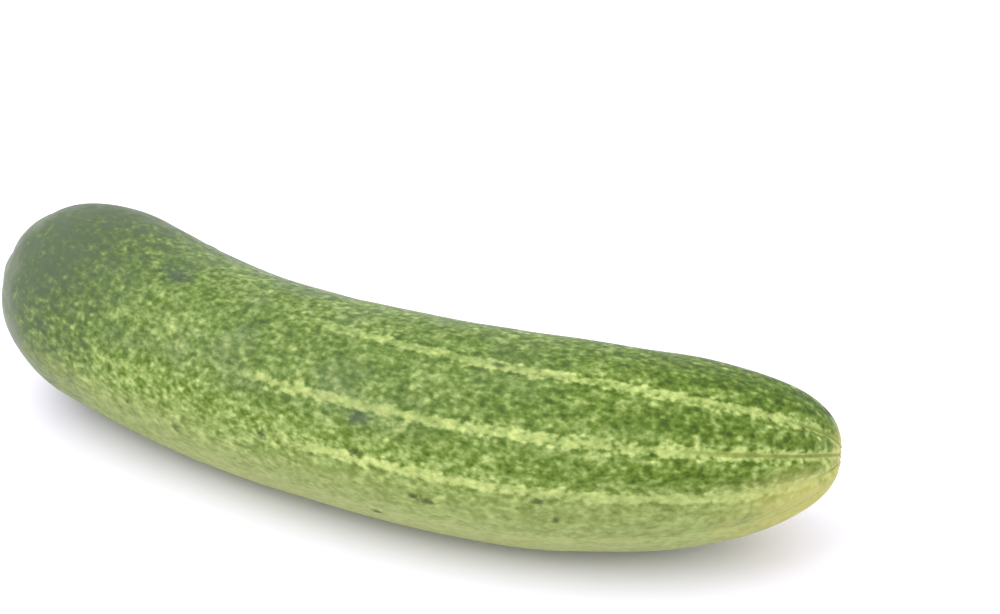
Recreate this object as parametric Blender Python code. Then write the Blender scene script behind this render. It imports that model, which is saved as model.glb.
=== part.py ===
"""A cucumber as picked, lying on its belly: one grown piece, so one object.

Metres, +Z up. The stem end points along -X and the blossom end along +X. The fruit bends
sideways, with its outer side towards -Y. It stands on z = 0, and the origin is the middle
of its outline seen from above.
"""
import bpy
import bmesh
from math import atan2, cos, exp, radians, sin
from mathutils import Matrix, Vector

# Middle line, followed from the stem end to the blossom end
LENGTH = 0.194
STEM_TURN = radians(17.0)      # sideways bend of the stem half
BLOSSOM_TURN = radians(40.0)   # sideways bend of the blossom half
STEM_RISE = 0.004              # how far the stem end lifts off the surface
RISE_REACH = 0.065             # length over which it lifts
EVEN_STEM_BEND = 0.3           # share of the length up to which the stem half's bend is even
EVEN_BLOSSOM_BEND = 0.7        # share of the length from which the blossom half's bend is even

# Girth, with places measured from the stem end
SHOULDER_RADIUS = 0.0222
WAIST_RADIUS = 0.0210
WAIST_PLACE = 0.071
BELLY_RADIUS = 0.0215
BELLY_PLACE = 0.107

# Rounded ends: the length of each dome and how blunt it is (2 is an ellipse)
STEM_DOME = 0.029
STEM_BLUNTNESS = 2.0
BLOSSOM_DOME = 0.070
BLOSSOM_BLUNTNESS = 2.33

# Lengthwise furrows between the ribs
RIBS = 10
RIB_TURN = radians(20.0)       # first furrow, from the top towards the outer side
BODY_FURROW = 0.0003           # full depth along the body
BLOSSOM_FURROW = 0.0006        # extra depth near the blossom end
STEM_FURROW = 0.0004           # extra depth near the stem end
FURROW_PEAK = 0.008            # place of the deepest furrow, from each tip
FURROW_REACH = 0.014           # how far along the body the extra depth fades
FULL_FURROW_GIRTH = 0.5        # share of the body's radius from which a furrow is full

# Scars
STEM_SCAR_RADIUS = 0.0045
STEM_SCAR_DEPTH = 0.0012
BLOSSOM_SCAR_RADIUS = 0.0025
BLOSSOM_SCAR_DEPTH = 0.0004

# Flat that the fruit's own weight presses into the belly
REST_DEPTH = 0.0006

# Skin
SKIN_COLOR = (0.115, 0.195, 0.035, 1.0)
SKIN_ROUGHNESS = 0.42

# Fineness of the mesh
SPINE_STEPS = 400
FACES_PER_RIB = 5
RINGS = 52
SHARP_EDGE = radians(40.0)
CUT_TOLERANCE = 1e-6


def smooth(share):
    """Ease from 0 to 1 with level ends."""
    share = min(max(share, 0.0), 1.0)
    return share * share * (3.0 - 2.0 * share)


def turn_rate(place):
    """Sideways turn per metre: even in each half, easing over between them."""
    share = (place / LENGTH - EVEN_STEM_BEND) / (EVEN_BLOSSOM_BEND - EVEN_STEM_BEND)
    blend = min(max(share, 0.0), 1.0)
    turn = STEM_TURN + (BLOSSOM_TURN - STEM_TURN) * blend
    return 2.0 * turn / LENGTH


def body_radius(place):
    """Radius of the fruit before its ends are rounded off."""
    if place < WAIST_PLACE:
        return SHOULDER_RADIUS + (WAIST_RADIUS - SHOULDER_RADIUS) * smooth(place / WAIST_PLACE)
    share = (place - WAIST_PLACE) / (BELLY_PLACE - WAIST_PLACE)
    return WAIST_RADIUS + (BELLY_RADIUS - WAIST_RADIUS) * smooth(share)


def dome(from_tip, length, bluntness):
    """Share of the radius left at a distance from a tip."""
    share = min(max(1.0 - from_tip / length, 0.0), 1.0)
    return (1.0 - share ** bluntness) ** (1.0 / bluntness)


def radius(place):
    """Radius of the fruit at a place along the middle line."""
    stem = dome(place, STEM_DOME, STEM_BLUNTNESS)
    blossom = dome(LENGTH - place, BLOSSOM_DOME, BLOSSOM_BLUNTNESS)
    return body_radius(place) * stem * blossom


def height(place):
    """Height of the middle line: the belly touches z = 0 except where the stem end lifts."""
    lift = STEM_RISE * max(1.0 - place / RISE_REACH, 0.0) ** 2
    return body_radius(place) + lift


def middle_line():
    """Points along the middle line, turned so that its two ends lie along X."""
    step = LENGTH / SPINE_STEPS
    heading = 0.0
    x = y = 0.0
    points = [Vector((x, y, height(0.0)))]
    for index in range(SPINE_STEPS):
        halfway = (index + 0.5) * step
        heading += 0.5 * turn_rate(halfway) * step
        x += cos(heading) * step
        y += sin(heading) * step
        heading += 0.5 * turn_rate(halfway) * step
        points.append(Vector((x, y, height((index + 1) * step))))
    level = Matrix.Rotation(-atan2(y, x), 3, 'Z')
    return [level @ point for point in points]


def place_on(points, place):
    """Point, forward, outer-side and up directions at a place along the middle line."""
    scaled = min(max(place / LENGTH, 0.0), 1.0) * SPINE_STEPS
    index = min(int(scaled), SPINE_STEPS - 1)
    start, end = points[index], points[index + 1]
    before = points[max(index - 1, 0)]
    after = points[min(index + 2, SPINE_STEPS)]
    forward = (after - before).normalized()
    outer = forward.cross(Vector((0.0, 0.0, 1.0))).normalized()
    up = outer.cross(forward)
    return start.lerp(end, scaled - index), forward, outer, up


def furrow_depth(place):
    """Depth of the furrows: shallow along the body, deeper near each end."""
    blossom = (LENGTH - place - FURROW_PEAK) / FURROW_REACH
    stem = (place - FURROW_PEAK) / FURROW_REACH
    return (BODY_FURROW + BLOSSOM_FURROW * exp(-blossom * blossom)
            + STEM_FURROW * exp(-stem * stem))


def furrow(place, around, girth):
    """How far the skin dips at an angle around the fruit, fading out towards the poles."""
    wave = 0.5 + 0.5 * cos(RIBS * (around - RIB_TURN))
    fade = smooth(girth / (FULL_FURROW_GIRTH * body_radius(place)))
    return furrow_depth(place) * wave * fade


def scar_dip(place, girth):
    """How far the skin sinks along the middle line inside the scar of the nearer tip."""
    if place < 0.5 * LENGTH:
        return STEM_SCAR_DEPTH * smooth(1.0 - girth / STEM_SCAR_RADIUS)
    return -BLOSSOM_SCAR_DEPTH * smooth(1.0 - girth / BLOSSOM_SCAR_RADIUS)


def skin_point(points, place, around):
    """A point of the skin; the angle starts at the top and goes towards the outer side."""
    centre, forward, outer, up = place_on(points, place)
    girth = radius(place)
    reach = girth - furrow(place, around, girth)
    out = up * cos(around) + outer * sin(around)
    return centre + out * reach + forward * scar_dip(place, girth)


def pull_over_middle_line(mesh, points):
    """Carry each point of a unit ball to its place on the fruit."""
    for vert in mesh.verts:
        place = 0.5 * LENGTH * (1.0 - vert.co.z)
        around = atan2(vert.co.y, vert.co.x)
        vert.co = skin_point(points, place, around)


def flatten_belly(mesh):
    """Cut the lowest sliver away and close the cut with one flat face."""
    lowest = min(vert.co.z for vert in mesh.verts)
    plane = Vector((0.0, 0.0, lowest + REST_DEPTH))
    parts = mesh.verts[:] + mesh.edges[:] + mesh.faces[:]
    bmesh.ops.bisect_plane(mesh, geom=parts, dist=CUT_TOLERANCE, plane_co=plane,
                           plane_no=(0.0, 0.0, -1.0), clear_outer=True)
    rim = [edge for edge in mesh.edges if edge.is_boundary]
    bmesh.ops.holes_fill(mesh, edges=rim)


def centre_on_origin(mesh):
    """Move the middle of the outline seen from above to the origin, standing on z = 0."""
    low = [min(vert.co[axis] for vert in mesh.verts) for axis in range(3)]
    high = [max(vert.co[axis] for vert in mesh.verts) for axis in range(3)]
    shift = Vector((-0.5 * (low[0] + high[0]), -0.5 * (low[1] + high[1]), -low[2]))
    bmesh.ops.translate(mesh, verts=mesh.verts, vec=shift)


def skin_material():
    """Waxy green skin."""
    material = bpy.data.materials.new("cucumber_skin")
    material.use_nodes = True
    shader = material.node_tree.nodes["Principled BSDF"]
    shader.inputs["Base Color"].default_value = SKIN_COLOR
    shader.inputs["Roughness"].default_value = SKIN_ROUGHNESS
    shader.inputs["Metallic"].default_value = 0.0
    return material


def make_cucumber():
    """The whole fruit as one closed body."""
    mesh = bmesh.new()
    bmesh.ops.create_uvsphere(mesh, u_segments=RIBS * FACES_PER_RIB, v_segments=RINGS, radius=1.0)
    pull_over_middle_line(mesh, middle_line())
    flatten_belly(mesh)
    centre_on_origin(mesh)
    bmesh.ops.recalc_face_normals(mesh, faces=mesh.faces)
    data = bpy.data.meshes.new("cucumber")
    mesh.to_mesh(data)
    mesh.free()
    data.shade_smooth()
    data.set_sharp_from_angle(angle=SHARP_EDGE)
    data.materials.append(skin_material())
    fruit = bpy.data.objects.new("cucumber", data)
    bpy.context.scene.collection.objects.link(fruit)


def main():
    for item in list(bpy.data.objects):
        bpy.data.objects.remove(item, do_unlink=True)
    make_cucumber()


main()
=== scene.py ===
"""A fresh cucumber as picked, lying on its belly on a pale table, in soft studio light."""
import math
from types import SimpleNamespace
from typing import NamedTuple

import bpy
import numpy as np
from bpy.props import FloatProperty, FloatVectorProperty, IntProperty, PointerProperty
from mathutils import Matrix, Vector


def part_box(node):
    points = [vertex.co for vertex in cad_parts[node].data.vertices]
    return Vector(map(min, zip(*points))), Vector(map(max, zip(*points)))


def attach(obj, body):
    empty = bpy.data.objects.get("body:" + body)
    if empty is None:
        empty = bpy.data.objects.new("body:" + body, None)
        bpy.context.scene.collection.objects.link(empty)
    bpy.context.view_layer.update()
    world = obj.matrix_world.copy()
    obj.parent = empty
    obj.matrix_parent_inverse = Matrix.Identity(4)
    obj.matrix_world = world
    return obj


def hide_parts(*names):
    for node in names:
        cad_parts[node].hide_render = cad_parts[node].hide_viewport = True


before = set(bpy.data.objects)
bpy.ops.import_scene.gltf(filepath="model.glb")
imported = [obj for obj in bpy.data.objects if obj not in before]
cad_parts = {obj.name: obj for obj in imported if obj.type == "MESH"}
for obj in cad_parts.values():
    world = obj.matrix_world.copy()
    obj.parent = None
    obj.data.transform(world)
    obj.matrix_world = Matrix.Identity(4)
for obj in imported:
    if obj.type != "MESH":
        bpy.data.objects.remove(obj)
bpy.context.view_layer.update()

bl_info = {
    "name": "Fresh cucumber",
    "version": (1, 0, 0),
    "blender": (4, 5, 0),
    "location": "View3D > Sidebar > Cucumber",
    "description": "Grows a speckled, pale-striped cucumber and sets it in soft studio light",
    "category": "Object",
}

MM = 0.001
FULL_TURN = 2.0 * math.pi

# Steps of the finely measured outline, on which the rings of faces are then shared out.
OUTLINE_STEPS = 4000
# Points closer than this are merged, and a point this close to the axis is a pole.
MERGE_DISTANCE = 0.001 * MM
POLE_DISTANCE = 0.01 * MM
# A point whose share of a dent is smaller than this stays where it is.
LEAST_SHARE = 1e-4

# A mark is felt up to MARK_REACH times its own size. All skin beyond that counts as FAR.
MARK_REACH = 4.0
FAR = 9.0

# Where each pale stripe runs: its angle at the stem end and at the blossom end, in degrees
# from the top towards the outer side of the bend, the place where it starts, how strong it
# is, and the place where a narrow groove opens along it.
STRIPES = (
    (3, 26, 89 * MM, 1.0, 182 * MM),
    (53, 57, 76 * MM, 1.0, 166 * MM),
    (81, 87, 89 * MM, 1.0, 187 * MM),
    (118, 122, 96 * MM, 0.4, 176 * MM),
    (156, 159, 104 * MM, 0.4, 183 * MM),
    (192, 195, 98 * MM, 0.4, 179 * MM),
    (228, 231, 92 * MM, 0.5, 172 * MM),
    (262, 266, 84 * MM, 0.8, 181 * MM),
    (295, 299, 76 * MM, 1.0, 168 * MM),
    (328, 326, 82 * MM, 0.9, 177 * MM),
)
# A stripe fades in over this length before and after its start.
STRIPE_FADE = 12 * MM
# A groove begins this far before its place, and is fully open this far after it.
GROOVE_BEGINS = 3 * MM
GROOVE_OPENS = 5 * MM

# Measured from the blossom tip: where the fruit begins to swell, where it is fully swollen,
# and where the ribs are deepest. They flatten out over their reach on both sides of there.
SWELL_BEGINS = 50 * MM
SWELL_FULL = 20 * MM
RIBS_DEEPEST = 8 * MM
RIBS_REACH = 16 * MM
# Measured from the stem end: how far the shallow creases stay full, and where they are gone.
CREASES_FULL = 8 * MM
CREASES_FADED = 22 * MM
# Depth of a crease as a share of a groove's.
CREASE_SHARE = 0.3
# Grooves and creases fade out over these lengths before they reach the middle of an end.
GROOVE_CLEARANCE = 3 * MM
CREASE_CLEARANCE = 6 * MM

# Parts of the two scars, measured from the scar's middle in multiples of its own radius.
STEM_HOLLOW_REACH = 1.3
STUB_FOOT = 0.70
STUB_TOP = 0.45
PITH_REACH = 0.22
BLOSSOM_HOLLOW_REACH = 1.7
RIM_PLACE = 0.8
RIM_WIDTH = 0.22

# Small corky warts: place from the stem end, angle like the stripes', radius.
WARTS = (
    (85.5 * MM, 85, 1.00 * MM),
    (65.0 * MM, 101, 0.85 * MM),
    (105.0 * MM, 81, 0.95 * MM),
    (116.4 * MM, 99, 0.85 * MM),
    (118.8 * MM, 101, 0.90 * MM),
    (138.5 * MM, 90, 0.85 * MM),
    (141.2 * MM, 102, 0.70 * MM),
    (128.4 * MM, 18, 1.00 * MM),
    (107.5 * MM, 123, 0.80 * MM),
    (53.0 * MM, 96, 0.75 * MM),
    (44.0 * MM, 318, 1.00 * MM),
    (73.0 * MM, 262, 0.95 * MM),
    (96.0 * MM, 292, 0.90 * MM),
    (122.0 * MM, 246, 0.90 * MM),
    (149.0 * MM, 281, 0.95 * MM),
    (61.0 * MM, 215, 0.90 * MM),
    (133.0 * MM, 178, 0.85 * MM),
    (90.0 * MM, 156, 0.80 * MM),
    (158.0 * MM, 305, 0.75 * MM),
    (81.0 * MM, 312, 0.85 * MM),
)
# Growth draws a wart out along the fruit: its half length and half width per radius, how far
# its raised foot reaches, and how wide and deep the dimple on its top is.
WART_LENGTH = 1.25
WART_WIDTH = 0.9
WART_FOOT = 1.5
DIMPLE_WIDTH = 0.35
DIMPLE_DEPTH = 0.6

# Bruised, bluish patches: place, angle, half length along the fruit, half width.
PATCHES = (
    (53.0 * MM, 14, 4.0 * MM, 2.2 * MM),
    (105.0 * MM, 62, 2.0 * MM, 1.5 * MM),
    (70.0 * MM, 300, 3.2 * MM, 2.0 * MM),
    (139.0 * MM, 262, 2.4 * MM, 1.8 * MM),
)

# Skin cells stretch along the fruit as it grows, so a pattern's spots are longer than wide.
# These scales along the fruit make long streaks, slightly long flecks, and round crumbs.
STREAKED = 0.22
FLECKED = 0.80
ROUND = 1.0

# Cloudy patterns of the rind: name, size of a spot in millimetres, finer octaves, how strong
# those are, and stretch. Real flecks are 0.5 to 2 mm across. The finest ones are drawn at 1 mm,
# because smaller ones would blur away.
CLOUDS = (
    ("broad", 8.0, 2.0, 0.5, STREAKED),
    ("haze", 13.0, 2.0, 0.5, FLECKED),
    ("mottle", 3.4, 3.0, 0.5, FLECKED),
    ("speck", 1.8, 2.0, 0.5, FLECKED),
    ("fine", 1.0, 1.0, 0.5, FLECKED),
    ("crumbs", 0.6, 4.0, 0.65, ROUND),
)
# Spacing of the round dots between the flecks, in millimetres.
DOT_SPACING = 1.2

# How pale the skin is between its patterns, from 0 to 1, and how far each one swings that.
MIDDLE_TONE = 0.52
SPECK_SWING = 0.84
FINE_SWING = 0.70
MOTTLE_SWING = 0.10
BROAD_SWING = 0.18
# How much paler or darker a zone makes it.
DOT_LIFT = 0.16
STRIPE_LIFT = 0.22
STEM_LIFT = -0.20
# Painted shade: darkens the top of the fruit.
PAINTED_TOP_SHADE_LIFT = -0.05
GREEN_BAND_LIFT = -0.10
# Painted shade: darkens the top of the blossom end.
PAINTED_TIP_SHADE_LIFT = -0.09

# A stripe is full inside its core and gone at its edge, in millimetres from its middle. Pale
# flecks bring the skin nearer to the middle, and dark gaps take it away.
STRIPE_EDGE = 1.55
STRIPE_CORE = 0.28
STRIPE_PULL = -2.4

# How fully a colour covers the skin where it is strongest.
FULL_COVER = 1.0
GROUND_SPOT_COVER = 0.5
STRIPE_COVER = 0.28
STEM_COVER = 0.86
# The stem end's wax, with its painted reflection and painted shade.
WAX_SHEEN_AND_SHADE_COVER = 0.74
TIP_COVER = 0.68
GROOVE_COVER = 0.6
BRUISE_COVER = 0.6
WART_COVER = 0.8
# How much less the stem end's plain skin and its wax, with its painted sheen and shade, cover a
# pale fleck than a dark gap.
STEM_FLECKS = -0.8
WAX_SHEEN_AND_SHADE_FLECKS = -1.1
# How far these two zones' edges lean along the fruit for each step up: the plain skin reaches
# farther along the top, and the wax, with its painted shade, along the underside.
STEM_TILT = -0.45
WAX_SHEEN_AND_SHADE_TILT = 0.60

# Depth of the skin's fine relief.
RELIEF_DEPTH = 0.12 * MM

# Settings and sockets that many of the material's nodes share.
MULTIPLY = {"operation": 'MULTIPLY'}
MULTIPLY_ADD = {"operation": 'MULTIPLY_ADD'}
SUBTRACT = {"operation": 'SUBTRACT'}
MAXIMUM = {"operation": 'MAXIMUM'}
LENGTH = {"operation": 'LENGTH'}
EASED = {"interpolation_type": 'SMOOTHSTEP'}
COLOURS = {"data_type": 'RGBA'}
MIX_AMOUNT, MIX_UNDER, MIX_OVER, MIX_RESULT = 0, 6, 7, 2


def linear(hex_code):
    """Linear colour of an sRGB hex code."""
    values = [int(hex_code[start:start + 2], 16) / 255.0 for start in (1, 3, 5)]
    straight = [v / 12.92 if v <= 0.04045 else ((v + 0.055) / 1.055) ** 2.4 for v in values]
    return (*straight, 1.0)


def length_property(name, description, default):
    """A length in metres that the sidebar shows."""
    return FloatProperty(name=name, description=description, default=default, min=0.0,
                         precision=4, subtype='DISTANCE', unit='LENGTH')


def place_property(name, description, default):
    """A point in metres that the sidebar shows."""
    return FloatVectorProperty(name=name, description=description, default=default,
                               subtype='XYZ', unit='LENGTH')


def angle_property(name, description, degrees):
    """An angle that the sidebar shows."""
    return FloatProperty(name=name, description=description, default=math.radians(degrees),
                         subtype='ANGLE', unit='ROTATION')


def number_property(name, description, default):
    """A plain number that the sidebar shows."""
    return FloatProperty(name=name, description=description, default=default, min=0.0)


def count_property(name, description, default):
    """A count of faces that the sidebar shows."""
    return IntProperty(name=name, description=description, default=default, min=40)


def colour_property(name, description, hex_code):
    """A colour that the sidebar shows."""
    return FloatVectorProperty(name=name, description=description, default=linear(hex_code),
                               size=4, min=0.0, max=1.0, subtype='COLOR')


class FruitSizes(bpy.types.PropertyGroup):
    """Sizes of the fruit."""

    length: length_property("Length", "Length along the bend, tip to tip", 0.194)
    stem_turn: angle_property("Stem bend", "Sideways bend of the stem half", 17.0)
    blossom_turn: angle_property("Blossom bend", "Sideways bend of the blossom half", 40.0)
    even_stem: number_property("Even stem bend", "Share of the length with the stem bend", 0.3)
    even_blossom: number_property("Even blossom bend", "Share where the blossom bend is full", 0.7)
    stem_rise: length_property("Stem rise", "How far the stem end lifts off the table", 0.004)
    rise_reach: length_property("Rise reach", "Length over which it lifts", 0.065)
    shoulder_radius: length_property("Shoulder radius", "Radius near the stem", 0.0222)
    waist_radius: length_property("Waist radius", "Radius at the waist", 0.0210)
    waist_place: length_property("Waist place", "Place of the waist from the stem end", 0.071)
    belly_radius: length_property("Belly radius", "Radius at the belly", 0.0215)
    belly_place: length_property("Belly place", "Place of the belly from the stem end", 0.107)
    stem_dome: length_property("Stem dome", "Length of the rounded stem end", 0.029)
    stem_bluntness: number_property("Stem bluntness", "2 is an ellipse", 2.0)
    blossom_dome: length_property("Blossom dome", "Length of the rounded blossom end", 0.070)
    blossom_bluntness: number_property("Blossom bluntness", "2 is an ellipse", 2.33)
    rest_depth: length_property("Rest depth", "How much of the belly is pressed flat", 0.0006)
    lobe_depth: length_property("Lobe depth", "Dip between two ribs along the body", 0.00022)
    end_lobe_depth: length_property("End lobe depth", "Extra dip at the blossom end", 0.0005)
    fullness: length_property("Fullness", "Swelling of the blossom end", 0.0004)
    groove_depth: length_property("Groove depth", "Narrow grooves at the blossom end", 0.0004)
    groove_width: length_property("Groove width", "Width of a narrow groove", 0.0011)
    wart_height: length_property("Wart height", "How far a wart stands proud", 0.00020)
    swell: length_property("Swell", "Uneven growth of the whole fruit", 0.0007)
    lump_size: length_property("Lump size", "Length of one swelling of that growth", 0.020)
    tip_shift: length_property("Tip shift", "Blossom scar's shift to the outer side", 0.0032)
    stem_scar: length_property("Stem scar radius", "Radius of the stem scar", 0.0042)
    stem_hollow: length_property("Stem hollow", "Depth of the hollow round the stem", 0.0012)
    stub_height: length_property("Stub height", "Height of the stem's stub in it", 0.0008)
    pith_depth: length_property("Pith depth", "Depth of the pith in the stub", 0.0005)
    blossom_scar: length_property("Blossom scar radius", "Radius of the blossom scar", 0.0022)
    blossom_hollow: length_property("Blossom hollow", "Depth of the blossom scar", 0.0005)
    blossom_rim: length_property("Blossom rim", "Height of the blossom scar's rim", 0.00025)
    faces_around: count_property("Faces around", "Faces around the fruit", 320)
    faces_along: count_property("Faces along", "Faces along the fruit", 300)


class SkinColours(bpy.types.PropertyGroup):
    """Colours of the skin and scars."""

    shade: colour_property("Darkest green", "Gaps between the flecks", "#384c12")
    deep: colour_property("Deep green", "Ground of the upper skin", "#486019")
    leaf: colour_property("Leaf green", "Fresher ground between flecks", "#647b2e")
    fleck: colour_property("Fleck", "Pale flecks over the whole skin", "#879b56")
    stripe: colour_property("Stripe", "Dense flecks of the stripes", "#adbb6e")
    bright: colour_property("Bright fleck", "Lightest flecks of the stripes", "#cad485")
    belly: colour_property("Belly", "Paler ground underneath", "#6e7c3b")
    belly_fleck: colour_property("Belly fleck", "Flecks underneath", "#9dab69")
    ground_spot: colour_property("Ground spot", "Pale skin that lay on the soil", "#b6ba80")
    stem_end: colour_property("Stem end", "Plain skin around the stem", "#4d5a45")
    # Partly grey wax, partly a painted grey reflection on the stem end's rim and painted shade
    # along its underside.
    wax_sheen_and_shade: colour_property("Bloom", "Greyish wax round the stem", "#808775")
    tip: colour_property("Blossom tip", "Yellowed skin at the blossom end", "#beb76a")
    groove: colour_property("Groove", "Olive bottom of the grooves", "#65701f")
    wart: colour_property("Wart", "Dark skin of a wart", "#39481f")
    # Partly greyish wax, partly painted sheen on the upper skin.
    grey_wax_and_sheen: colour_property("Hazy green", "Greyer ground in broad patches", "#4d5e45")
    bruise: colour_property("Bruise", "Bluish patch", "#3f4c40")
    cork: colour_property("Cork", "Dried tissue of the scars", "#998a68")
    cork_dark: colour_property("Dark cork", "Cracks in the dried tissue", "#5b5040")


class StudioSettings(bpy.types.PropertyGroup):
    """Table, lights and camera."""

    table_size: length_property("Table size", "Side of the square table", 6.0)
    table_colour: colour_property("Table colour", "Cool white of the table", "#f1eefa")
    azimuth: angle_property("Camera azimuth", "Turn of the camera round the fruit", 22.81)
    elevation: angle_property("Camera elevation", "Height of the view", 28.99)
    distance: length_property("Camera distance", "From the aim point to the camera", 0.5273)
    lens: number_property("Lens", "Focal length in millimetres", 86.4)
    aim: place_property("Aim point", "Point in the middle of the view", (0.00875, 0.04195, 0.021))
    sky_strength: number_property("Sky strength", "Light of the white room", 1.35)
    key_place: place_property("Key light place", "Middle of the soft light", (-0.8, -0.5, 1.5))
    key_size: length_property("Key light size", "Side of the square soft light", 1.6)
    key_power: number_property("Key power", "Power of the large soft light, in watts", 14.0)


def ease(values, none, full):
    """Ease from 0 where the values reach one bound to 1 where they reach the other."""
    share = np.clip((values - none) / (full - none), 0.0, 1.0)
    return share * share * (3.0 - 2.0 * share)


def hump(distance, reach):
    """Soft bump: 1 at no distance, nearly 0 past twice the reach."""
    return np.exp(-(distance / reach) ** 2)


def body_radius(sizes, place):
    """Radius of the fruit before its ends are rounded off."""
    waist = ease(place, 0.0, sizes.waist_place)
    belly = ease(place, sizes.waist_place, sizes.belly_place)
    return (sizes.shoulder_radius + (sizes.waist_radius - sizes.shoulder_radius) * waist
            + (sizes.belly_radius - sizes.waist_radius) * belly)


def dome(from_tip, length, bluntness):
    """Share of the radius left at a distance from a tip."""
    share = np.clip(1.0 - from_tip / length, 0.0, 1.0)
    return (1.0 - share ** bluntness) ** (1.0 / bluntness)


def profile(sizes):
    """Places along the fruit, closer together at the tips, and the radius at each."""
    turn = np.linspace(0.0, math.pi, OUTLINE_STEPS + 1)
    places = sizes.length * 0.5 * (1.0 - np.cos(turn))
    radii = (body_radius(sizes, places)
             * dome(places, sizes.stem_dome, sizes.stem_bluntness)
             * dome(sizes.length - places, sizes.blossom_dome, sizes.blossom_bluntness))
    return places, radii


def ring_places(sizes, places, radii):
    """Places of the rings of faces: even steps over the skin, up to twice as fine at the tips."""
    steps = np.hypot(np.diff(places), np.diff(radii))
    middles = 0.5 * (places[1:] + places[:-1])
    tip_reach = 0.05 * sizes.length
    finer = 1.0 + hump(middles, tip_reach) + hump(sizes.length - middles, tip_reach)
    walked = np.concatenate(([0.0], np.cumsum(steps * finer)))
    rings = np.linspace(0.0, walked[-1], sizes.faces_along + 1)
    return np.interp(rings, walked, places)


def middle_line(sizes, steps=400):
    """Points along the middle line of the fruit, its two ends lying along X."""
    step = sizes.length / steps
    halfway = (np.arange(steps) + 0.5) / steps
    share = (halfway - sizes.even_stem) / (sizes.even_blossom - sizes.even_stem)
    blend = np.clip(share, 0.0, 1.0)
    turn = sizes.stem_turn + (sizes.blossom_turn - sizes.stem_turn) * blend
    turned = np.cumsum(2.0 * turn / steps) - turn / steps
    x = np.concatenate(([0.0], np.cumsum(np.cos(turned) * step)))
    y = np.concatenate(([0.0], np.cumsum(np.sin(turned) * step)))
    level = -math.atan2(y[-1], x[-1])
    places = np.linspace(0.0, sizes.length, steps + 1)
    lift = sizes.stem_rise * np.clip(1.0 - places / sizes.rise_reach, 0.0, None) ** 2
    z = body_radius(sizes, places) + lift
    return np.stack((x * math.cos(level) - y * math.sin(level),
                     x * math.sin(level) + y * math.cos(level), z), axis=1)


def deselect_all():
    """Leave object mode with nothing selected."""
    if bpy.context.object and bpy.context.object.mode != 'OBJECT':
        bpy.ops.object.mode_set(mode='OBJECT')
    bpy.ops.object.select_all(action='DESELECT')


def make_active(piece):
    """Select one piece alone."""
    deselect_all()
    piece.select_set(True)
    bpy.context.view_layer.objects.active = piece


def apply_modifier(piece, kind, **settings):
    """Add a modifier with its settings and apply it."""
    make_active(piece)
    modifier = piece.modifiers.new(kind.lower(), kind)
    for name, value in settings.items():
        setattr(modifier, name, value)
    bpy.ops.object.modifier_apply(modifier=modifier.name)


def read_points(piece):
    """Coordinates of all points of a mesh."""
    flat = np.empty(len(piece.data.vertices) * 3, dtype=np.float32)
    piece.data.vertices.foreach_get("co", flat)
    return flat.reshape(-1, 3).astype(float)


def keep_values(piece, name, values):
    """Keep one number for each point of a mesh, for the material to read."""
    layer = piece.data.attributes.new(name, 'FLOAT', 'POINT')
    layer.data.foreach_set("value", np.ascontiguousarray(values, np.float32))


def keep_vectors(piece, name, vectors):
    """Keep one vector for each point of a mesh, for the material to read."""
    layer = piece.data.attributes.new(name, 'FLOAT_VECTOR', 'POINT')
    layer.data.foreach_set("vector", np.ascontiguousarray(vectors, np.float32).ravel())


def dent_or_raise(piece, shares, height):
    """Move the skin along its normals by each point's share of a height."""
    group = piece.vertex_groups.new(name="reach")
    for index in np.nonzero(np.abs(shares) > LEAST_SHARE)[0]:
        group.add([int(index)], float(shares[index]), 'REPLACE')
    apply_modifier(piece, 'DISPLACE', vertex_group="reach", direction='NORMAL',
                   mid_level=0.0, strength=height)
    piece.vertex_groups.remove(piece.vertex_groups["reach"])


def make_middle_curve(sizes):
    """The middle line as a curve that the fruit is bent along."""
    data = bpy.data.curves.new("middle_line", 'CURVE')
    data.dimensions = '3D'
    data.twist_mode = 'Z_UP'
    line = data.splines.new('POLY')
    points = middle_line(sizes)
    line.points.add(len(points) - 1)
    for spot, point in zip(line.points, points):
        spot.co = (*point, 1.0)
    curve = bpy.data.objects.new("middle_line", data)
    bpy.context.scene.collection.objects.link(curve)
    return curve


def bend(piece, curve):
    """Bend a straight piece along the middle line."""
    apply_modifier(piece, 'CURVE', object=curve, deform_axis='POS_X')


def draw_outline(points):
    """Draw an edge through points, one extruded step after another."""
    deselect_all()
    bpy.ops.mesh.primitive_circle_add(vertices=3, radius=MM, location=points[0])
    bpy.ops.object.transform_apply(location=True)
    bpy.ops.object.mode_set(mode='EDIT')
    bpy.ops.mesh.select_all(action='SELECT')
    bpy.ops.mesh.merge(type='CENTER')
    for step in np.diff(points, axis=0):
        bpy.ops.mesh.extrude_region_move(TRANSFORM_OT_translate={"value": tuple(step)})
    bpy.ops.object.mode_set(mode='OBJECT')
    return bpy.context.object


def straight_fruit(sizes):
    """The fruit before it bends: half its outline spun round its middle line."""
    places, radii = profile(sizes)
    rings = ring_places(sizes, places, radii)
    girths = np.interp(rings, places, radii)
    fruit = draw_outline(np.stack((rings, np.zeros(len(rings)), girths), axis=1))
    fruit.name = "cucumber_skin"
    fruit.data.name = "cucumber_skin"
    bpy.ops.object.mode_set(mode='EDIT')
    bpy.ops.mesh.select_all(action='SELECT')
    bpy.ops.mesh.spin(steps=sizes.faces_around, angle=FULL_TURN, center=(0.0, 0.0, 0.0),
                      axis=(1.0, 0.0, 0.0))
    bpy.ops.mesh.select_all(action='SELECT')
    bpy.ops.mesh.remove_doubles(threshold=MERGE_DISTANCE)
    bpy.ops.mesh.normals_make_consistent(inside=False)
    bpy.ops.object.mode_set(mode='OBJECT')
    bpy.ops.object.shade_smooth()
    lay_uv(fruit, rings)
    return fruit


def wrap(angles):
    """Angles brought to within half a turn of nought."""
    return (angles + math.pi) % FULL_TURN - math.pi


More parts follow.
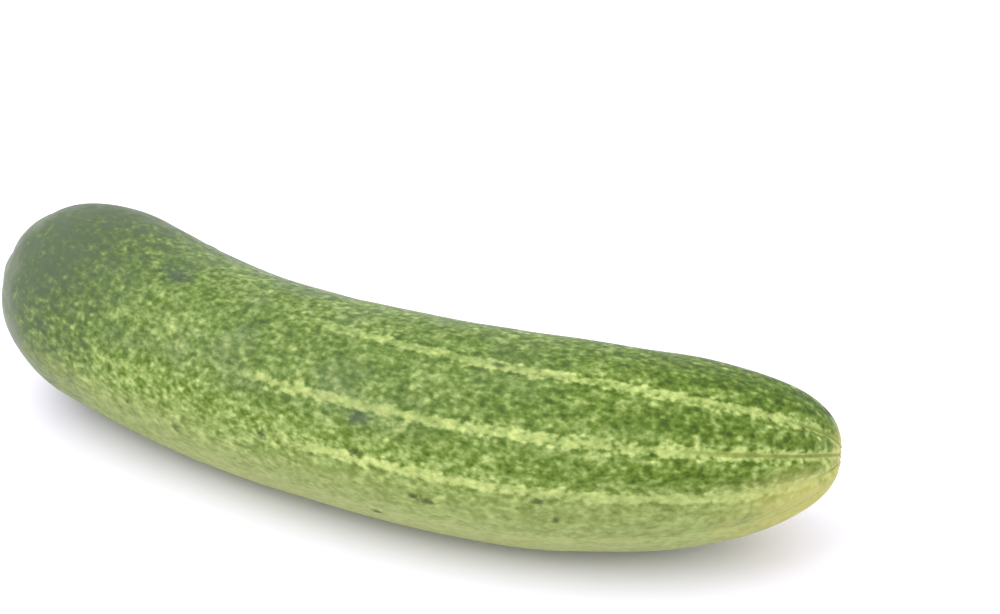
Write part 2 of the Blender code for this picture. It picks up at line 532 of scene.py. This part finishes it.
def lay_uv(fruit, rings):
    """A UV map that follows the skin: U round the fruit, V along it, with the seam beneath.

    Each face's corners are placed from the angle of its own middle, so that no face is
    stretched over the seam, and a corner at a pole takes that angle itself.
    """
    mesh = fruit.data
    corners = np.empty(len(mesh.loops), np.int32)
    mesh.loops.foreach_get("vertex_index", corners)
    sides = np.empty(len(mesh.polygons), np.int32)
    mesh.polygons.foreach_get("loop_total", sides)
    centres = np.empty(len(mesh.polygons) * 3, np.float32)
    mesh.polygons.foreach_get("center", centres)
    centres = np.repeat(centres.reshape(-1, 3), sides, axis=0)
    points = read_points(fruit)[corners]
    middle = np.arctan2(-centres[:, 1], centres[:, 2])
    aside = wrap(np.arctan2(-points[:, 1], points[:, 2]) - middle)
    at_pole = np.hypot(points[:, 1], points[:, 2]) < POLE_DISTANCE
    aside = np.where(at_pole, 0.0, aside)
    across = 0.5 + (middle + aside) / FULL_TURN
    along = np.interp(points[:, 0], rings, np.linspace(0.0, 1.0, len(rings)))
    layer = mesh.uv_layers.new(name="OFBake")
    layer.data.foreach_set("uv", np.stack((across, along), axis=1).astype(np.float32).ravel())


class Skin(NamedTuple):
    """What each point of the straight skin knows of its place on the fruit."""

    # From the stem end along the middle line.
    place: np.ndarray
    # Angle from the top towards the outer side of the bend.
    around: np.ndarray
    # Distance from the line that the ribs meet on.
    reach: np.ndarray
    # Distance from the middle of the nearest stripe, in millimetres.
    across: np.ndarray
    # How strong that stripe is here, and how far its groove is open.
    strength: np.ndarray
    groove: np.ndarray


def read_skin(sizes, points):
    """Find where each point of the straight fruit lies on its skin.

    The ribs meet on the middle line, but leave it near the blossom end, whose scar sits
    towards the outer side of the bend and a little low.
    """
    place = points[:, 0]
    outer = -points[:, 1]
    up = points[:, 2]
    to_axis = 1.0 - np.clip(np.hypot(outer, up) / sizes.belly_radius, 0.0, 1.0) ** 4
    shift = np.where(place > sizes.length - sizes.blossom_dome, to_axis, 0.0) * sizes.tip_shift
    outer = outer - shift
    up = up + 0.15 * shift
    around = np.arctan2(outer, up)
    reach = np.hypot(outer, up)
    return Skin(place, around, reach, *nearest_stripe(sizes, place, around, reach))


def nearest_stripe(sizes, place, around, reach):
    """Distance in millimetres to the nearest stripe, its strength, and its groove's share."""
    across = np.full(len(place), np.inf)
    strength = np.zeros(len(place))
    groove = np.zeros(len(place))
    along = np.clip(place / sizes.length, 0.0, 1.0)
    for start, end, begins, power, opens in STRIPES:
        centre = np.radians(start + (end - start) * along)
        distance = np.abs(wrap(around - centre)) * reach / MM
        begun = power * ease(place, begins - STRIPE_FADE, begins + STRIPE_FADE)
        opened = ease(place, opens - GROOVE_BEGINS, opens + GROOVE_OPENS)
        nearer = distance < across
        across = np.where(nearer, distance, across)
        strength = np.where(nearer, begun, strength)
        groove = np.where(nearer, opened, groove)
    return across, strength, groove


def nearest_mark(skin, marks):
    """Offset along and across to the nearest mark, in multiples of the mark's own size.

    The third number is nought near a mark and large elsewhere, so that the length of the
    offset stays true between the points of the mesh.
    """
    offsets = np.tile((0.0, 0.0, FAR), (len(skin.place), 1))
    nearest = np.full(len(skin.place), MARK_REACH)
    for place, degrees, half_long, half_wide in marks:
        along = (skin.place - place) / half_long
        aside = wrap(skin.around - math.radians(degrees)) * skin.reach / half_wide
        distance = np.hypot(along, aside)
        near = distance < nearest
        offsets[near] = np.stack((along, aside, np.zeros(len(along))), axis=1)[near]
        nearest = np.where(near, distance, nearest)
    return offsets


def raise_ribs(sizes, fruit, skin):
    """Raise the ribs under the stripes, more so at the blossom end, which is also fuller."""
    from_blossom = sizes.length - skin.place
    reach = np.maximum(skin.reach, 0.1 * MM)
    rib_width = FULL_TURN * reach / len(STRIPES) / MM
    dip = 0.5 + 0.5 * np.cos(FULL_TURN * np.clip(skin.across / rib_width, 0.0, 0.5))
    off_pole = ease(skin.reach, 0.0, 0.5 * sizes.belly_radius)
    near_blossom = off_pole * hump(from_blossom - RIBS_DEEPEST, RIBS_REACH)
    dent_or_raise(fruit, ease(from_blossom, SWELL_BEGINS, SWELL_FULL), sizes.fullness)
    dent_or_raise(fruit, off_pole, 0.5 * sizes.lobe_depth)
    dent_or_raise(fruit, dip * off_pole, -sizes.lobe_depth)
    dent_or_raise(fruit, near_blossom, 0.5 * sizes.end_lobe_depth)
    dent_or_raise(fruit, dip * near_blossom, -sizes.end_lobe_depth)


def cut_grooves(sizes, fruit, skin):
    """Cut the narrow grooves at the blossom end, and shallow creases round the stem."""
    line = hump(skin.across * MM, 0.5 * sizes.groove_width)
    opened = skin.groove * skin.strength * ease(skin.reach, 0.0, GROOVE_CLEARANCE)
    dent_or_raise(fruit, line * opened, -sizes.groove_depth)
    near_stem = ease(skin.place, CREASES_FADED, CREASES_FULL)
    creased = near_stem * ease(skin.reach, 0.0, CREASE_CLEARANCE)
    dent_or_raise(fruit, line * creased, -CREASE_SHARE * sizes.groove_depth)


def raise_warts(sizes, fruit, skin):
    """Raise the warts, each with a dimple on its top, and return the offsets to them."""
    ovals = [(place, degrees, WART_LENGTH * radius, WART_WIDTH * radius)
             for place, degrees, radius in WARTS]
    offsets = nearest_mark(skin, ovals)
    away = np.linalg.norm(offsets, axis=1)
    dent_or_raise(fruit, ease(away, WART_FOOT, 0.0), sizes.wart_height)
    dent_or_raise(fruit, hump(away, DIMPLE_WIDTH), -DIMPLE_DEPTH * sizes.wart_height)
    return offsets


def shape_scars(sizes, fruit, skin):
    """Sink both scars into the ends, with the stem's stub in one and a rim round the other."""
    at_stem = np.where(skin.place < 0.5 * sizes.length, 1.0, 0.0)
    at_blossom = 1.0 - at_stem
    from_stem = skin.reach / sizes.stem_scar
    from_blossom = skin.reach / sizes.blossom_scar
    stem_hollow = ease(from_stem, STEM_HOLLOW_REACH, 0.0)
    stub = ease(from_stem, STUB_FOOT, STUB_TOP)
    pith = hump(from_stem, PITH_REACH)
    blossom_hollow = ease(from_blossom, BLOSSOM_HOLLOW_REACH, 0.0)
    rim = hump(from_blossom - RIM_PLACE, RIM_WIDTH)
    dent_or_raise(fruit, at_stem * stem_hollow, -sizes.stem_hollow)
    dent_or_raise(fruit, at_stem * stub, sizes.stub_height)
    dent_or_raise(fruit, at_stem * pith, -sizes.pith_depth)
    dent_or_raise(fruit, at_blossom * blossom_hollow, -sizes.blossom_hollow)
    dent_or_raise(fruit, at_blossom * rim, sizes.blossom_rim)
    keep_values(fruit, "stem_scar", np.where(at_stem > 0.0, from_stem, FAR))
    keep_values(fruit, "blossom_scar", np.where(at_stem > 0.0, FAR, from_blossom))


def shape_skin(sizes, fruit):
    """Give the straight fruit its ribs, grooves, warts and scars, and mark where they are."""
    points = read_points(fruit)
    skin = read_skin(sizes, points)
    raise_ribs(sizes, fruit, skin)
    cut_grooves(sizes, fruit, skin)
    warts = raise_warts(sizes, fruit, skin)
    shape_scars(sizes, fruit, skin)
    keep_values(fruit, "across", skin.across)
    keep_values(fruit, "strength", skin.strength)
    keep_values(fruit, "groove", skin.groove * skin.strength)
    keep_vectors(fruit, "wart", warts)
    keep_vectors(fruit, "patch", nearest_mark(skin, PATCHES))
    keep_vectors(fruit, "grown", points)


def uneven_growth(sizes, fruit):
    """Make the fruit a little lumpy, as it grows in the field."""
    texture = bpy.data.textures.new("uneven_growth", 'CLOUDS')
    texture.noise_scale = sizes.lump_size
    texture.noise_depth = 1
    apply_modifier(fruit, 'DISPLACE', texture=texture, texture_coords='LOCAL',
                   mid_level=0.5, strength=sizes.swell)


def move(piece, shift):
    """Move a piece and put its origin back where the frame's is."""
    make_active(piece)
    bpy.ops.transform.translate(value=shift)
    bpy.ops.object.transform_apply(location=True)


def press_flat(piece):
    """Press the belly flat where it lies on the table."""
    points = read_points(piece)
    make_active(piece)
    piece.data.vertices.foreach_set("select", points[:, 2] < 0.0)
    for kind in (piece.data.edges, piece.data.polygons):
        kind.foreach_set("select", np.zeros(len(kind), dtype=bool))
    bpy.ops.object.mode_set(mode='EDIT')
    bpy.context.tool_settings.mesh_select_mode = (True, False, False)
    bpy.ops.transform.resize(value=(1.0, 1.0, 0.0), center_override=(0.0, 0.0, 0.0))
    bpy.ops.object.mode_set(mode='OBJECT')


def add_node(tree, kind, settings=None, inputs=None, stops=()):
    """Add a node with its settings, inputs and colour stops.

    An input is a plain value, another node's output, or a node, whose first output it takes.
    """
    node = tree.nodes.new("ShaderNode" + kind)
    for name, value in (settings or {}).items():
        setattr(node, name, value)
    for name, value in (inputs or {}).items():
        if isinstance(value, bpy.types.Node):
            value = value.outputs[0]
        if isinstance(value, bpy.types.NodeSocket):
            tree.links.new(value, node.inputs[name])
        else:
            node.inputs[name].default_value = value
    if stops:
        ramp = node.color_ramp
        while len(ramp.elements) < len(stops):
            ramp.elements.new(0.5)
        for element, (position, colour) in zip(ramp.elements, stops):
            element.position = position
            element.color = colour
    return node


def between(value, low, high, start=0.0, end=1.0):
    """Inputs that ease a value from a start at one bound to an end at the other."""
    return {"Value": value, "From Min": low, "From Max": high, "To Min": start, "To Max": end}


def sway(tree, pattern, amount, base):
    """A base that swings up and down with a pattern, by an amount about its middle value."""
    swing = add_node(tree, "Math", SUBTRACT, {0: pattern, 1: 0.5})
    return add_node(tree, "Math", MULTIPLY_ADD, {0: swing, 1: amount, 2: base})


def read_rind(tree):
    """Places, distances and cloudy patterns on the skin as it grew, before the fruit bent."""
    rind = SimpleNamespace()
    grown = add_node(tree, "Attribute", {"attribute_name": "grown"}).outputs["Vector"]
    spread = add_node(tree, "SeparateXYZ", None, {"Vector": grown})
    rind.place = spread.outputs["X"]
    rind.inner = spread.outputs["Y"]
    rind.up = spread.outputs["Z"]
    for name in ("across", "strength", "groove", "stem_scar", "blossom_scar"):
        kept = add_node(tree, "Attribute", {"attribute_name": name})
        setattr(rind, name, kept.outputs["Fac"])
    for name in ("wart", "patch"):
        kept = add_node(tree, "Attribute", {"attribute_name": name})
        away = add_node(tree, "VectorMath", LENGTH, {0: kept.outputs["Vector"]})
        setattr(rind, name, away.outputs["Value"])
    drawn = {stretch: add_node(tree, "Mapping", None,
                               {"Vector": grown, "Scale": (stretch, 1.0, 1.0)})
             for stretch in (STREAKED, FLECKED, ROUND)}
    for name, size, octaves, rough, stretch in CLOUDS:
        spots = {"Vector": drawn[stretch], "Scale": 1.0 / (size * MM), "Detail": octaves,
                 "Roughness": rough}
        setattr(rind, name, add_node(tree, "TexNoise", None, spots))
    rind.grain = fleck_grain(tree, rind, drawn[FLECKED])
    return rind


def fleck_grain(tree, rind, drawn):
    """The flecks: pale specks of two sizes, slightly clouded, with round dots among them."""
    cells = add_node(tree, "TexVoronoi", None,
                     {"Vector": drawn, "Scale": 1.0 / (DOT_SPACING * MM)})
    dots = add_node(tree, "MapRange", EASED, between(cells.outputs["Distance"], 0.60, 0.20))
    paleness = add_node(tree, "SeparateColor", None, {0: cells.outputs["Color"]})
    uneven_dots = add_node(tree, "Math", MULTIPLY, {0: dots, 1: paleness})
    specks = sway(tree, rind.speck, SPECK_SWING, MIDDLE_TONE)
    specks = sway(tree, rind.fine, FINE_SWING, specks)
    specks = sway(tree, rind.mottle, MOTTLE_SWING, specks)
    return add_node(tree, "Math", MULTIPLY_ADD, {0: uneven_dots, 1: DOT_LIFT, 2: specks})


def stripe_pattern(tree, rind):
    """The pale stripes: bands of denser flecks, ragged at the sides and broken along them."""
    edge = sway(tree, rind.mottle, 1.0, rind.across)
    edge = sway(tree, rind.grain, STRIPE_PULL, edge)
    band = add_node(tree, "MapRange", EASED, between(edge, STRIPE_EDGE, STRIPE_CORE))
    breaks = add_node(tree, "MapRange", EASED, between(rind.broad, 0.30, 0.55, 0.65, 1.0))
    broken = add_node(tree, "Math", MULTIPLY, {0: rind.strength, 1: breaks})
    return add_node(tree, "Math", MULTIPLY, {0: band, 1: broken})


def skin_tone(tree, rind, stripe, stem, belly):
    """How pale the skin is: the flecks, lifted by a stripe and lowered in the darker zones, among
    them painted shade on the top of the fruit and on the top of the blossom end.
    """
    # Painted shade on the top of the fruit, from 10 mm above the middle line up.
    painted_top_shade = add_node(tree, "MapRange", EASED, between(rind.up, 10 * MM, 20 * MM))
    late = add_node(tree, "MapRange", EASED, between(rind.place, 110 * MM, 155 * MM))
    off_stripe = add_node(tree, "MapRange", EASED, between(rind.across, 2.2, 4.4))
    off_belly = add_node(tree, "Math", SUBTRACT, {0: 1.0, 1: belly})
    green_band = add_node(tree, "Math", MULTIPLY, {0: late, 1: off_stripe})
    green_band = add_node(tree, "Math", MULTIPLY, {0: green_band, 1: off_belly})
    # Painted shade on the top of the blossom end.
    near_tip = add_node(tree, "MapRange", EASED, between(rind.place, 150 * MM, 175 * MM))
    on_top = add_node(tree, "MapRange", EASED, between(rind.up, 0.0, 6 * MM))
    painted_tip_shade = add_node(tree, "Math", MULTIPLY, {0: near_tip, 1: on_top})
    tone = rind.grain
    zones = ((stripe, STRIPE_LIFT), (stem, STEM_LIFT), (painted_top_shade, PAINTED_TOP_SHADE_LIFT),
             (green_band, GREEN_BAND_LIFT), (painted_tip_shade, PAINTED_TIP_SHADE_LIFT))
    for zone, lift in zones:
        tone = add_node(tree, "Math", MULTIPLY_ADD, {0: zone, 1: lift, 2: tone})
    return sway(tree, rind.broad, BROAD_SWING, tone)


def ground_colour(tree, rind, colours, tone, belly):
    """The skin's greens: dark and flecked above, plain and pale on the belly. The pale ground spot
    stops short of the stem half, whose underside stays darker as painted shade, and the tone
    brings in the painted shade on the top.
    """
    upper_greens = ((0.14, colours.shade), (0.29, colours.deep), (0.47, colours.leaf),
                    (0.65, colours.fleck), (0.84, colours.stripe), (1.00, colours.bright))
    upper = add_node(tree, "ValToRGB", None, {0: tone}, upper_greens)
    lower = add_node(tree, "ValToRGB", None, {0: tone},
                     ((0.18, colours.belly), (0.80, colours.belly_fleck)))
    beneath = add_node(tree, "MapRange", EASED, between(rind.up, -6 * MM, -16 * MM))
    # The pale ground spot is kept off the stem half, so that half's underside stays darker:
    # painted shade.
    clear_of_stem_shade = add_node(tree, "MapRange", EASED, between(rind.place, 45 * MM, 80 * MM))
    spot = add_node(tree, "Math", MULTIPLY, {0: beneath, 1: clear_of_stem_shade})
    lower = lay_over(tree, lower, ((spot, GROUND_SPOT_COVER, colours.ground_spot),))
    return lay_over(tree, upper, ((belly, FULL_COVER, lower),))


def lay_over(tree, skin, layers):
    """Lay colours over the skin, one after another: where each lies, its cover, and colour."""
    for zone, cover, colour in layers:
        amount = add_node(tree, "Math", MULTIPLY, {0: zone, 1: cover})
        mix = add_node(tree, "Mix", COLOURS,
                       {MIX_AMOUNT: amount, MIX_UNDER: skin, MIX_OVER: colour})
        skin = mix.outputs[MIX_RESULT]
    return skin


def haze_and_sheen_zone(tree, rind):
    """Broad, greyer patches on the upper skin, which fade towards the blossom end: partly greyish
    wax, partly painted sheen, the grey reflection of the white room kept to the top.
    """
    patches = add_node(tree, "MapRange", EASED, between(rind.haze, 0.46, 0.66, 0.22, 0.50))
    # Kept to the upper skin, where the painted sheen lies.
    above = add_node(tree, "MapRange", EASED, between(rind.up, 4 * MM, 13 * MM))
    fading = add_node(tree, "MapRange", EASED,
                      between(rind.place, 160 * MM, 105 * MM, 0.15, 1.0))
    haze = add_node(tree, "Math", MULTIPLY, {0: patches, 1: above})
    return add_node(tree, "Math", MULTIPLY, {0: haze, 1: fading})


def wax_sheen_and_shade_zone(tree, rind):
    """Wax round the stem, streaked, and thicker on the outer, lower side. Partly real wax, partly
    painted light: a painted grey reflection on the rim of the stem end, on the outer side that
    faces the camera, and painted shade along its underside.
    """
    edge = sway(tree, rind.mottle, 14 * MM, rind.place)
    edge = sway(tree, rind.broad, 24 * MM, edge)
    edge = add_node(tree, "Math", MULTIPLY_ADD, {0: rind.up, 1: WAX_SHEEN_AND_SHADE_TILT, 2: edge})
    wax = add_node(tree, "MapRange", EASED, between(edge, 28 * MM, 2 * MM))
    outer = add_node(tree, "MapRange", EASED, between(rind.inner, 18 * MM, -2 * MM, 0.2, 1.0))
    return add_node(tree, "Math", MULTIPLY, {0: wax, 1: outer})


def tip_zone(tree, rind):
    """Yellowed skin: the underside of the blossom end, and a ring round its scar."""
    edge = sway(tree, rind.mottle, 22 * MM, rind.place)
    near_tip = add_node(tree, "MapRange", EASED, between(edge, 164 * MM, 186 * MM))
    height = sway(tree, rind.mottle, 12 * MM, rind.up)
    beneath = add_node(tree, "MapRange", EASED, between(height, 6 * MM, -4 * MM))
    ring = add_node(tree, "MapRange", EASED, between(rind.blossom_scar, 3.6, 1.6))
    underside = add_node(tree, "Math", MULTIPLY, {0: near_tip, 1: beneath})
    return add_node(tree, "Math", MAXIMUM, {0: underside, 1: ring})


def mark_zones(tree, rind):
    """Where the grooves, the bruised patches and the warts show, with uneven edges.

    A groove's edge is measured in millimetres, and the others' in the mark's own size.
    """
    groove_edge = sway(tree, rind.mottle, 0.6, rind.across)
    line = add_node(tree, "MapRange", EASED, between(groove_edge, 0.55, 0.18))
    groove = add_node(tree, "Math", MULTIPLY, {0: line, 1: rind.groove})
    patch_edge = sway(tree, rind.fine, 1.0, rind.patch)
    patch = add_node(tree, "MapRange", EASED, between(patch_edge, 1.45, 0.35))
    wart_edge = sway(tree, rind.fine, 1.8, rind.wart)
    wart = add_node(tree, "MapRange", EASED, between(wart_edge, 1.6, 0.2))
    return groove, patch, wart


def cork_of_scars(tree, rind, colours):
    """Cork, the dried tissue of the two scars: dull, tan and cracked. Its zone and colour."""
    stem_edge = sway(tree, rind.crumbs, 0.35, rind.stem_scar)
    blossom_edge = sway(tree, rind.crumbs, 0.5, rind.blossom_scar)
    on_stem = add_node(tree, "MapRange", EASED, between(stem_edge, 1.05, 0.90))
    on_blossom = add_node(tree, "MapRange", EASED, between(blossom_edge, 1.05, 0.85))
    scar = add_node(tree, "Math", MAXIMUM, {0: on_stem, 1: on_blossom})
    cork = add_node(tree, "ValToRGB", None, {0: rind.crumbs},
                    ((0.36, colours.cork_dark), (0.58, colours.cork)))
    return scar, cork.outputs[0]


def rind_material(colours):
    """Cucumber rind, living waxy skin: dense pale flecks over green, and a soft gloss."""
    material = bpy.data.materials.new("cucumber_rind")
    material.use_nodes = True
    tree = material.node_tree
    shader = tree.nodes["Principled BSDF"]
    rind = read_rind(tree)

    stripe = stripe_pattern(tree, rind)
    belly_edge = sway(tree, rind.broad, 12 * MM, rind.up)
    belly = add_node(tree, "MapRange", EASED, between(belly_edge, 6 * MM, -7 * MM))
    stem_edge = sway(tree, rind.mottle, 30 * MM, rind.place)
    stem_edge = add_node(tree, "Math", MULTIPLY_ADD, {0: rind.up, 1: STEM_TILT, 2: stem_edge})
    stem = add_node(tree, "MapRange", EASED, between(stem_edge, 52 * MM, 8 * MM))
    tone = skin_tone(tree, rind, stripe, stem, belly)
    groove, patch, wart = mark_zones(tree, rind)
    scar, cork = cork_of_scars(tree, rind, colours)
    stem_cover = sway(tree, rind.grain, STEM_FLECKS, STEM_COVER)
    wax_sheen_and_shade_cover = sway(tree, rind.grain, WAX_SHEEN_AND_SHADE_FLECKS, WAX_SHEEN_AND_SHADE_COVER)
    skin = lay_over(tree, ground_colour(tree, rind, colours, tone, belly), (
        # Greyer patches on the top: partly wax, partly painted sheen.
        (haze_and_sheen_zone(tree, rind), FULL_COVER, colours.grey_wax_and_sheen),
        (stripe, STRIPE_COVER, colours.stripe),
        (stem, stem_cover, colours.stem_end),
        # Wax round the stem, with a painted grey reflection and painted shade.
        (wax_sheen_and_shade_zone(tree, rind), wax_sheen_and_shade_cover, colours.wax_sheen_and_shade),
        (tip_zone(tree, rind), TIP_COVER, colours.tip),
        (groove, GROOVE_COVER, colours.groove),
        (patch, BRUISE_COVER, colours.bruise),
        (wart, WART_COVER, colours.wart),
        (scar, FULL_COVER, cork),
    ))

    # Fresh wax is patchily smooth, cork is rough, and each fleck stands a little proud.
    wax = add_node(tree, "MapRange", EASED, between(rind.mottle, 0.3, 0.7, 0.40, 0.52))
    gloss = add_node(tree, "Math", MULTIPLY_ADD, {0: scar, 1: 0.4, 2: wax})
    cracks = add_node(tree, "Math", MULTIPLY, {0: scar, 1: 2.0})
    relief = add_node(tree, "Math", MULTIPLY_ADD,
                      {0: rind.crumbs, 1: cracks, 2: sway(tree, tone, 0.5, rind.fine)})
    bump = add_node(tree, "Bump", None,
                    {"Height": relief, "Strength": 0.5, "Distance": RELIEF_DEPTH})
    tree.links.new(skin, shader.inputs["Base Color"])
    tree.links.new(gloss.outputs[0], shader.inputs["Roughness"])
    tree.links.new(bump.outputs[0], shader.inputs["Normal"])
    shader.inputs["IOR"].default_value = 1.45
    shader.inputs["Specular IOR Level"].default_value = 0.15
    return material


def table_material(colour):
    """Matt white laminate table: plain, so that only the soft shadow shows on it."""
    material = bpy.data.materials.new("white_table")
    material.use_nodes = True
    shader = material.node_tree.nodes["Principled BSDF"]
    shader.inputs["Base Color"].default_value = colour
    shader.inputs["Roughness"].default_value = 0.6
    shader.inputs["Specular IOR Level"].default_value = 0.2
    return material


def fruit_shift(sizes, fruit):
    """How the bent fruit moves to fill the place that the frame gives it."""
    points = read_points(fruit)
    low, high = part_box("cucumber")
    middle = 0.5 * (points.min(axis=0) + points.max(axis=0))
    return (0.5 * (low.x + high.x) - middle[0], 0.5 * (low.y + high.y) - middle[1],
            low.z - sizes.rest_depth)


class CUCUMBER_OT_grow_fruit(bpy.types.Operator):
    """Grow the whole fruit with its skin and the scars at its two ends"""

    bl_idname = "cucumber.grow_fruit"
    bl_label = "Grow Fruit"

    def execute(self, context):
        sizes = context.scene.cucumber_sizes
        curve = make_middle_curve(sizes)
        fruit = straight_fruit(sizes)
        shape_skin(sizes, fruit)
        uneven_growth(sizes, fruit)
        bend(fruit, curve)
        move(fruit, fruit_shift(sizes, fruit))
        press_flat(fruit)
        fruit.data.materials.append(rind_material(context.scene.cucumber_colours))
        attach(fruit, "root")
        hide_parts("cucumber")
        bpy.data.objects.remove(curve, do_unlink=True)
        return {'FINISHED'}


class CUCUMBER_OT_set_studio(bpy.types.Operator):
    """Set the table, the lights and the camera"""

    bl_idname = "cucumber.set_studio"
    bl_label = "Set Studio"

    def execute(self, context):
        studio = context.scene.cucumber_studio
        deselect_all()
        bpy.ops.mesh.primitive_plane_add(size=studio.table_size, location=(0.0, 0.0, 0.0))
        table = context.object
        table.name = "table"
        table.data.materials.append(table_material(studio.table_colour))
        self.light_room(context.scene, studio)
        self.place_camera(context.scene, studio)
        return {'FINISHED'}

    def light_room(self, scene, studio):
        """A white room and one large soft light, from the upper left, that faces the fruit."""
        world = bpy.data.worlds.new("white_room")
        world.use_nodes = True
        background = world.node_tree.nodes["Background"]
        background.inputs["Color"].default_value = (1.0, 1.0, 1.0, 1.0)
        background.inputs["Strength"].default_value = studio.sky_strength
        scene.world = world
        scene.view_settings.view_transform = 'Standard'
        bpy.ops.object.light_add(type='AREA', location=studio.key_place)
        light = bpy.context.object
        light.name = "key_light"
        light.data.shape = 'SQUARE'
        light.data.size = studio.key_size
        light.data.energy = studio.key_power
        towards_fruit = -Vector(studio.key_place)
        light.rotation_euler = towards_fruit.to_track_quat('-Z', 'Y').to_euler()

    def place_camera(self, scene, studio):
        """The camera looks down at the fruit from its outer side."""
        turn, rise = studio.azimuth, studio.elevation
        back = Vector((math.sin(turn) * math.cos(rise), -math.cos(turn) * math.cos(rise),
                       math.sin(rise)))
        bpy.ops.object.camera_add(location=Vector(studio.aim) + back * studio.distance)
        camera = bpy.context.object
        camera.name = "camera"
        camera.rotation_euler = back.to_track_quat('Z', 'Y').to_euler()
        camera.data.lens = studio.lens
        camera.data.clip_start = 10 * MM
        scene.camera = camera


class CUCUMBER_PT_panel(bpy.types.Panel):
    """Sizes, colours and steps of the cucumber"""

    bl_idname = "CUCUMBER_PT_panel"
    bl_label = "Cucumber"
    bl_space_type = 'VIEW_3D'
    bl_region_type = 'UI'
    bl_category = "Cucumber"

    def draw(self, context):
        scene = context.scene
        groups = (("Fruit", scene.cucumber_sizes), ("Skin", scene.cucumber_colours),
                  ("Studio", scene.cucumber_studio))
        for title, group in groups:
            box = self.layout.box()
            box.label(text=title)
            for name in group.bl_rna.properties.keys():
                if name not in {"rna_type", "name"}:
                    box.prop(group, name)
        self.layout.operator(CUCUMBER_OT_grow_fruit.bl_idname)
        self.layout.operator(CUCUMBER_OT_set_studio.bl_idname)


CLASSES = (FruitSizes, SkinColours, StudioSettings, CUCUMBER_OT_grow_fruit,
           CUCUMBER_OT_set_studio, CUCUMBER_PT_panel)


def register():
    """Register the classes and give the scene its settings."""
    for item in CLASSES:
        bpy.utils.register_class(item)
    bpy.types.Scene.cucumber_sizes = PointerProperty(type=FruitSizes)
    bpy.types.Scene.cucumber_colours = PointerProperty(type=SkinColours)
    bpy.types.Scene.cucumber_studio = PointerProperty(type=StudioSettings)


def unregister():
    """Take back all that register gave."""
    del bpy.types.Scene.cucumber_studio
    del bpy.types.Scene.cucumber_colours
    del bpy.types.Scene.cucumber_sizes
    for item in reversed(CLASSES):
        bpy.utils.unregister_class(item)


def main():
    """Make the cucumber and its studio."""
    register()
    bpy.ops.cucumber.grow_fruit()
    bpy.ops.cucumber.set_studio()


if __name__ == "__main__":
    main()
